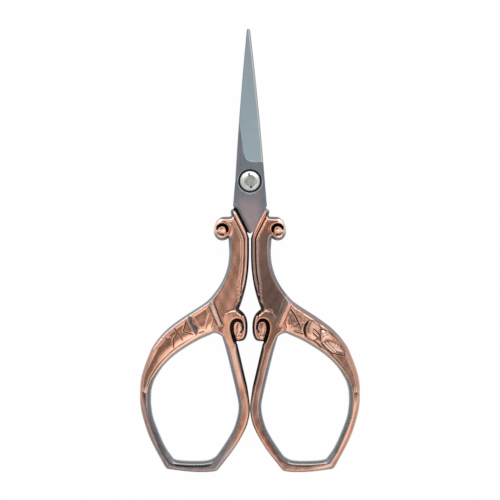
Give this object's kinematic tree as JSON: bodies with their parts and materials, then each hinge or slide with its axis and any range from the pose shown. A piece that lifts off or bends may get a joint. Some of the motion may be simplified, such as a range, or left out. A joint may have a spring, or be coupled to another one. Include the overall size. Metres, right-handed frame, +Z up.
{
  "type": "embroidery scissors",
  "caption": "Small pointed embroidery scissors: ground steel blades on a slotted pivot screw, with cast scroll handles in antique copper, relief ornament and large open finger bows.",
  "frame": {"origin": "middle of the underside of the closed scissors lying flat on their back", "axes": "+Z up out of the front face, +Y along the length towards the blade tips, +X to the right seen from the front"},
  "size_m": [0.0572, 0.115, 0.0048],
  "materials": {
    "blade_steel": "ground and brushed stainless steel, satin, bluish grey",
    "antique_copper": "antique copper plate on cast zinc alloy, polished on the high faces and dark in the recesses",
    "screw_steel": "bright turned steel, worn round the slot",
    "black_steel": "blackened steel, matt"
  },
  "bodies": {
    "rear_lever": {"rear_blade": "blade_steel", "left_handle": "antique_copper", "pivot_screw": "screw_steel", "pivot_washer": "black_steel"},
    "front_lever": {"front_blade": "blade_steel", "right_handle": "antique_copper"}
  },
  "joints": [
    {"name": "scissor_pivot", "type": "hinge", "parent": "rear_lever", "child": "front_lever", "pos_m": [0, 0.018, 0.0024], "axis": [0, 0, 1], "range_deg": [0, 115]}
  ]
}
